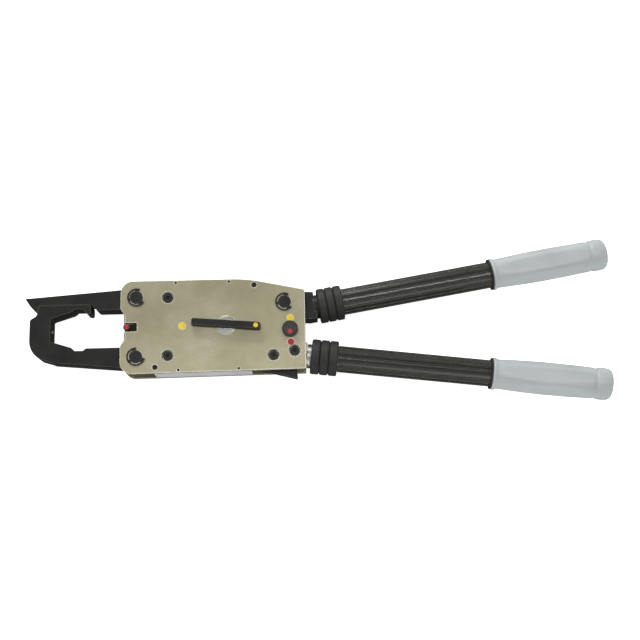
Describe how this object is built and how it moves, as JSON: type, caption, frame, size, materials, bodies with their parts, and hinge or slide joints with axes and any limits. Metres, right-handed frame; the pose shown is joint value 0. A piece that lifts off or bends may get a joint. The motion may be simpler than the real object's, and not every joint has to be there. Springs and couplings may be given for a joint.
{
  "type": "crimping tool",
  "caption": "Two-handled ratchet crimping tool for cable lugs: plated body, hinged latch over a C-shaped jaw, sliding ram, fluted handles with grey grips.",
  "frame": {"origin": "centre of the die bore's mouth on the ram's front face, at mid thickness", "axes": "+X toward the handles, +Y toward the moving upper handle, +Z out of the front plate"},
  "size_m": [0.6334, 0.1781, 0.0446],
  "materials": {
    "nickel_plate": "satin nickel plated steel",
    "black_steel": "blackened steel",
    "tool_steel": "ground tool steel",
    "bright_steel": "turned bright steel",
    "grey_steel": "grey steel",
    "spacer_metal": "sawn aluminium bar",
    "black_rubber": "moulded rubber",
    "tube_black": "black fluted tube",
    "grip_grey": "soft grey plastic",
    "knob_black": "moulded black plastic",
    "red_plastic": "red plastic",
    "yellow_plastic": "yellow plastic"
  },
  "bodies": {
    "frame": {"front_plate": "nickel_plate", "rear_plate": "nickel_plate", "top_spacer": "spacer_metal", "bottom_spacer": "spacer_metal", "upper_guide": "black_steel", "lower_guide": "black_steel", "lower_jaw": "black_steel", "latch_pin": "black_steel", "jaw_pin": "black_steel", "handle_pin": "black_steel", "retaining_rings": "black_steel", "cap_screws": "black_steel", "dowel_pins": "black_steel", "roll_pins": "black_steel", "detent_spring": "bright_steel", "release_pin": "bright_steel", "release_spring": "bright_steel", "lower_root": "grey_steel", "lower_rings": "black_rubber", "lower_tube": "tube_black", "lower_collar": "black_rubber", "lower_grip": "grip_grey", "lower_rivet": "bright_steel", "yellow_marks": "yellow_plastic", "red_mark": "red_plastic"},
    "latch": {"latch_bar": "black_steel"},
    "seat_ball": {"detent_ball": "bright_steel"},
    "ram": {"ram": "tool_steel", "follower_pin": "bright_steel", "follower_roller": "bright_steel", "die_lock_spring": "bright_steel"},
    "die_lock": {"die_lock_slider": "black_steel", "die_lock_cap": "red_plastic"},
    "cam": {"camshaft": "bright_steel", "spiral_disc": "tool_steel", "ratchet_wheel": "tool_steel", "disc_key": "bright_steel", "return_spring": "tool_steel", "advance_lever": "black_steel", "lever_stud": "black_steel", "lever_mark": "yellow_plastic"},
    "selector": {"selector_knob": "knob_black", "selector_shaft": "bright_steel", "knob_circlip": "bright_steel", "knob_mark": "red_plastic"},
    "release": {"release_lever": "black_steel"},
    "upper_handle": {"upper_root": "black_steel", "upper_rings": "black_rubber", "upper_tube": "tube_black", "upper_collar": "black_rubber", "upper_grip": "grip_grey", "upper_rivet": "bright_steel", "drive_pawl_pin": "bright_steel", "pawl_spring": "bright_steel"},
    "drive_pawl": {"drive_pawl": "tool_steel"}
  },
  "joints": [
    {"name": "latch_hinge", "type": "hinge", "parent": "frame", "child": "latch", "pos_m": [0.014, 0.0323, 0], "axis": [0, 0, 1], "range_deg": [-100, 0]},
    {"name": "seat_ball_press", "type": "slide", "parent": "frame", "child": "seat_ball", "axis": [-1, 0, 0], "range_m": [0, 0.0012], "stiffness_N_per_m": 600, "deforming": ["detent_spring"]},
    {"name": "cam_turn", "type": "hinge", "parent": "frame", "child": "cam", "pos_m": [0.11, 0, 0], "axis": [0, 0, 1], "range_deg": [0, 180]},
    {"name": "ram_slide", "type": "slide", "parent": "frame", "child": "ram", "axis": [-1, 0, 0], "range_m": [0, 0.021]},
    {"name": "die_lock_press", "type": "slide", "parent": "ram", "child": "die_lock", "axis": [0, 0, -1], "range_m": [0, 0.002], "stiffness_N_per_m": 500, "deforming": ["die_lock_spring"]},
    {"name": "selector_turn", "type": "hinge", "parent": "frame", "child": "selector", "pos_m": [0.178, -0.0065, 0], "axis": [0, 0, 1], "range_deg": [0, 180]},
    {"name": "release_press", "type": "hinge", "parent": "frame", "child": "release", "pos_m": [0.15, -0.0445, 0], "axis": [0, 0, 1], "range_deg": [0, 7], "stiffness_Nm_per_rad": 0.4},
    {"name": "handle_pump", "type": "hinge", "parent": "frame", "child": "upper_handle", "pos_m": [0.1725, 0.024, 0], "axis": [0, 0, 1], "range_deg": [-15, 20]},
    {"name": "pawl_swing", "type": "hinge", "parent": "upper_handle", "child": "drive_pawl", "pos_m": [0.1531, 0.0046, 0], "axis": [0, 0, 1], "range_deg": [0, 12], "stiffness_Nm_per_rad": 0.02}
  ],
  "couplings": [
    {"joint": "ram_slide", "follows": "cam_turn", "m_per_rad": 0.0066845}
  ]
}
